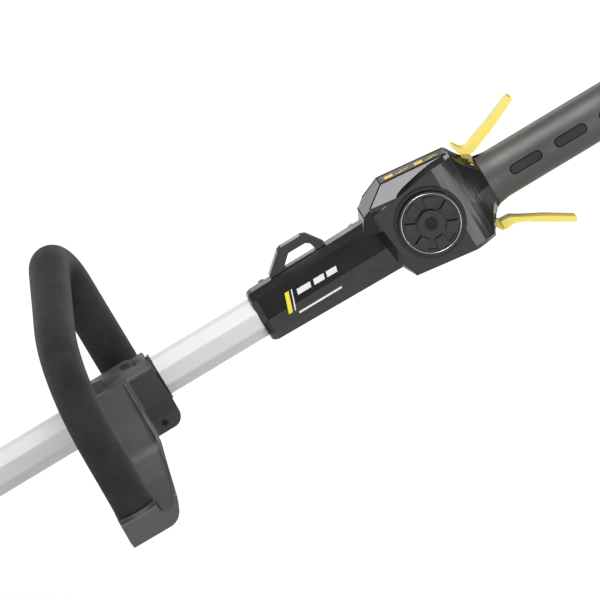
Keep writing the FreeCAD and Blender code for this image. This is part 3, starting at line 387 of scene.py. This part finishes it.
def make_foam(finishes):
    """The foam sleeve: a soft tube with rounded ends and a faintly uneven skin."""
    line = loop_line()
    count = 56
    last = len(line) - 1
    rounding = ((0, FOAM_R - 2.2), (0, FOAM_R - 0.7))
    rings = [foam_ring(line, 0, FOAM_BORE, count)]
    rings += [foam_ring(line, at, radius, count) for at, radius in rounding]
    rings += [foam_ring(line, at, FOAM_R, count) for at in range(1, last)]
    rings += [foam_ring(line, last - at, radius, count) for at, radius in reversed(rounding)]
    rings += [foam_ring(line, at, FOAM_BORE, count) for at in range(last, 0, -1)]
    points = [point for ring in rings for point in ring]
    faces = []
    for row in range(len(rings)):
        following = (row + 1) % len(rings)
        for step in range(count):
            side = (step + 1) % count
            faces.append((row * count + step, row * count + side,
                          following * count + side, following * count + step))
    mesh = mesh_from("loop_foam_sleeve", points, faces)
    outward(mesh)
    mesh.shade_smooth()
    sleeve = new_piece("loop_foam_sleeve", mesh, finishes["foam"], "loop_handle")
    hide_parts("loop_foam")


def outward(mesh):
    shape = bmesh.new()
    shape.from_mesh(mesh)
    bmesh.ops.recalc_face_normals(shape, faces=shape.faces)
    shape.to_mesh(mesh)
    shape.free()


# ---- printed marks ----
PRINT_SKIN = 0.00012
NECK_CREASE = -2.0


def node_surface(name):
    """A ray-casting tree of a node's own mesh."""
    mesh = frame["nodes"][name].data
    shape = bmesh.new()
    shape.from_mesh(mesh)
    tree = BVHTree.FromBMesh(shape)
    shape.free()
    return tree


def print_on_neck(name, shapes, finish, surface):
    """Flat (x, z) shapes, in millimetres, laid on the left face of the neck."""
    shape = bmesh.new()
    for corners in shapes:
        shape.faces.new([shape.verts.new((x / 1000, 0, z / 1000)) for x, z in corners])
    bmesh.ops.bisect_plane(shape, geom=shape.verts[:] + shape.edges[:] + shape.faces[:],
                           plane_co=(0, 0, NECK_CREASE / 1000), plane_no=(0, 0, 1))
    bmesh.ops.triangulate(shape, faces=shape.faces)
    for vert in shape.verts:
        start = TRIMMER @ Vector((vert.co.x, -0.06, vert.co.z))
        hit = surface.ray_cast(start, RIGHT)[0]
        vert.co = (hit or start) - RIGHT * 0.00003
    for face in shape.faces:
        face.normal_update()
        if face.normal.dot(RIGHT) > 0:
            face.normal_flip()
    mesh = bpy.data.meshes.new(name)
    shape.to_mesh(mesh)
    shape.free()
    piece = new_piece(name, mesh, finish, "trimmer")
    skin = piece.modifiers.new("skin", "SOLIDIFY")
    skin.thickness = PRINT_SKIN
    skin.offset = 1


def slanted(x0, x1, z0, z1, lean):
    return [(x0, z0), (x1, z0), (x1 + lean, z1), (x0 + lean, z1)]


def make_prints(finishes):
    """A plain decorative mark: a yellow blade, three white bars and a thin white line."""
    surface = node_surface("housing_left")
    blade = slanted(19.0, 22.2, -6.0, 8.2, 5.0)
    print_on_neck("neck_mark_blade", [blade], finishes["yellow_print"], surface)
    bars = [slanted(24.0, 24.9, -6.0, 8.2, 5.0)]
    bars += [slanted(x0, x1, 2.4, 6.4, 1.0) for x0, x1 in ((31.6, 42.4), (45.0, 53.4), (55.4, 63.6))]
    bars.append(slanted(25.6, 60.4, -9.3, -7.9, 0.4))
    print_on_neck("neck_mark_bars", bars, finishes["white_print"], surface)


PANEL_X = 0.1205
PANEL_Z = 0.039
PANEL_SLOPE = radians(6)
PANEL = TRIMMER @ Matrix.Translation((PANEL_X, 0, PANEL_Z)) @ Matrix.Rotation(PANEL_SLOPE, 4, "Y")
GLYPH_STARTS = (13.2, 36.0)
GLYPH_LOW = 0.00028
GLYPH_HIGH = 0.00044


def make_glyphs(finishes):
    """Small level and arrow glyphs beside the two lights on the display."""
    points, faces = [], []
    for start in GLYPH_STARTS:
        strokes = [slanted(start + 1.9 * bar, start + 1.9 * bar + 1.1, -5.4, -3.9 + 1.3 * bar, 0)
                   for bar in range(3)]
        strokes.append(slanted(start + 7.2, start + 8.2, -5.2, -0.6, -1.6))
        strokes.append(slanted(start + 7.2, start + 8.2, -5.2, -0.6, 1.8))
        for stroke in strokes:
            first = len(points)
            points += [PANEL @ Vector((x / 1000, y / 1000, GLYPH_LOW)) for x, y in stroke]
            points += [PANEL @ Vector((x / 1000, y / 1000, GLYPH_HIGH)) for x, y in stroke]
            faces += [[first + corner for corner in loop] for loop in (
                (3, 2, 1, 0), (4, 5, 6, 7), (0, 1, 5, 4), (1, 2, 6, 5), (2, 3, 7, 6), (3, 0, 4, 7))]
    mesh = mesh_from("display_glyphs", points, faces)
    outward(mesh)
    new_piece("display_glyphs", mesh, finishes["yellow_print"], "trimmer")


# ---- seams, painted crease shade and a painted highlight ring ----
def tube_lines(name, lines, radius, finish, closed, body="trimmer"):
    """Thin round beads along lines of points in the row frame."""
    curve = bpy.data.curves.new(name, "CURVE")
    curve.dimensions = "3D"
    curve.bevel_depth = radius
    curve.bevel_resolution = 2
    curve.use_fill_caps = True
    for line in lines:
        spline = curve.splines.new("POLY")
        spline.points.add(len(line) - 1)
        for point, place in zip(spline.points, line):
            point.co = (*place, 1)
        spline.use_cyclic_u = closed
    return new_piece(name, curve, finish, body)


DIAL_HIGHLIGHT_R = 0.0211
DIAL_HIGHLIGHT_FRONT = 0.0049
GRIP_R = 18.0
PAD_CENTRES = (216.0, 252.4, 288.8)
PAD_END_R = 3.35
PAD_HALF_RUN = 9.0


def make_pad_seams(finishes):
    """The dark channel round each rubber inlay of the grip."""
    lines = []
    for side in (-1, 1):
        for centre in PAD_CENTRES:
            line = []
            for step in range(40):
                angle = 2 * pi * step / 40
                x = centre + PAD_END_R * cos(angle) + (PAD_HALF_RUN if cos(angle) > 0 else -PAD_HALF_RUN)
                z = PAD_END_R * sin(angle)
                y = side * (GRIP_R ** 2 - z ** 2) ** 0.5
                line.append(TRIMMER @ (Vector((x, y, z)) / 1000))
            lines.append(line)
    tube_lines("grip_pad_seams", lines, 0.0005, finishes["joint_and_shade"], True)


def make_dial_highlight_ring(finishes):
    """A thin bright steel bead on the front of the dial's rim, as a painted highlight along the rim's
    edge.
    """
    centre = DIAL - RIGHT * DIAL_HIGHLIGHT_FRONT
    line = []
    for step in range(96):
        angle = 2 * pi * step / 96
        line.append(centre + (BACK * cos(angle) + UP * sin(angle)) * DIAL_HIGHLIGHT_R)
    tube_lines("dial_highlight_ring", [line], 0.00035, finishes["steel"], True, "speed_dial")


def make_cover_crease_shade(finishes):
    """Black beads along the creases of the display's cap, as painted shade in those creases."""
    shape = bmesh.new()
    shape.from_mesh(frame["nodes"]["top_cover"].data)
    bmesh.ops.remove_doubles(shape, verts=shape.verts, dist=1e-6)
    lines = []
    for edge in shape.edges:
        if len(edge.link_faces) != 2 or edge.calc_face_angle() < radians(14):
            continue
        ends = [TO_TRIMMER @ vert.co * 1000 for vert in edge.verts]
        facing = [TO_TRIMMER.to_3x3() @ face.normal for face in edge.link_faces]
        if all(way.z > 0.3 for way in facing) and edge.calc_length() > 0.004:
            lines.append([TRIMMER @ (end / 1000) for end in ends])
    shape.free()
    tube_lines("cover_crease_shade", lines, 0.0005, finishes["joint_and_shade"], False)


# ---- studio ----
FLOOR_REACH = 14


def area_light(name, at, toward, size, power):
    data = bpy.data.lights.new(name, "AREA")
    data.size = size
    data.energy = power
    light = bpy.data.objects.new(name, data)
    light.location = at
    light.rotation_euler = (toward - at).to_track_quat("-Z", "Y").to_euler()
    bpy.context.scene.collection.objects.link(light)


def make_floor():
    """A pale floor that glows only well away from the trimmer, so it lights no edge from below."""
    mesh = mesh_from("floor", [(-FLOOR_REACH, -FLOOR_REACH, 0), (FLOOR_REACH, -FLOOR_REACH, 0),
                               (FLOOR_REACH, FLOOR_REACH, 0), (-FLOOR_REACH, FLOOR_REACH, 0)],
                     [(0, 1, 2, 3)])
    floor = bpy.data.objects.new("floor", mesh)
    bpy.context.scene.collection.objects.link(floor)
    finish = material("floor", (0.93, 0.93, 0.93), 0.9, 0, 0.005, 0.02, 50, 0.01, 2,
                      Emission_Color=(1, 1, 1, 1))
    tree = finish.node_tree
    coords = tree.nodes.new("ShaderNodeTexCoord").outputs["Object"]
    reach = node(tree, "ShaderNodeVectorMath", operation="LENGTH")
    tree.links.new(coords, reach.inputs[0])
    glow = node(tree, "ShaderNodeMapRange")
    glow.inputs["From Min"].default_value = 1.8
    glow.inputs["From Max"].default_value = 4.0
    glow.inputs["To Min"].default_value = 0.0
    glow.inputs["To Max"].default_value = 0.95
    tree.links.new(reach.outputs["Value"], glow.inputs["Value"])
    tree.links.new(glow.outputs["Result"], tree.nodes["Principled BSDF"].inputs["Emission Strength"])
    mesh.materials.append(finish)


def make_studio(right, top, away):
    scene = bpy.context.scene
    scene.view_settings.view_transform = "Standard"
    world = bpy.data.worlds.new("studio")
    world.use_nodes = True
    world.node_tree.nodes["Background"].inputs["Color"].default_value = (1, 1, 1, 1)
    world.node_tree.nodes["Background"].inputs["Strength"].default_value = 0.16
    scene.world = world
    make_floor()
    target = TRIMMER @ AIM
    area_light("key", target + top * 1.4 - away * 1.2 - right * 0.5, target, 1.2, 32)
    area_light("side", target - away * 1.7 + right * 1.3 - top * 0.2, target, 0.8, 8)
    area_light("rim", target + away * 1.1 + top * 0.9 - right * 0.6, target, 0.8, 4)


def main():
    right, top, away = make_camera()
    finishes = make_materials()
    finish_nodes(finishes)
    paint_facets_shade_and_reflection(finishes)
    make_foam(finishes)
    make_prints(finishes)
    make_glyphs(finishes)
    make_pad_seams(finishes)
    make_cover_crease_shade(finishes)
    make_dial_highlight_ring(finishes)
    make_studio(right, top, away)


main()
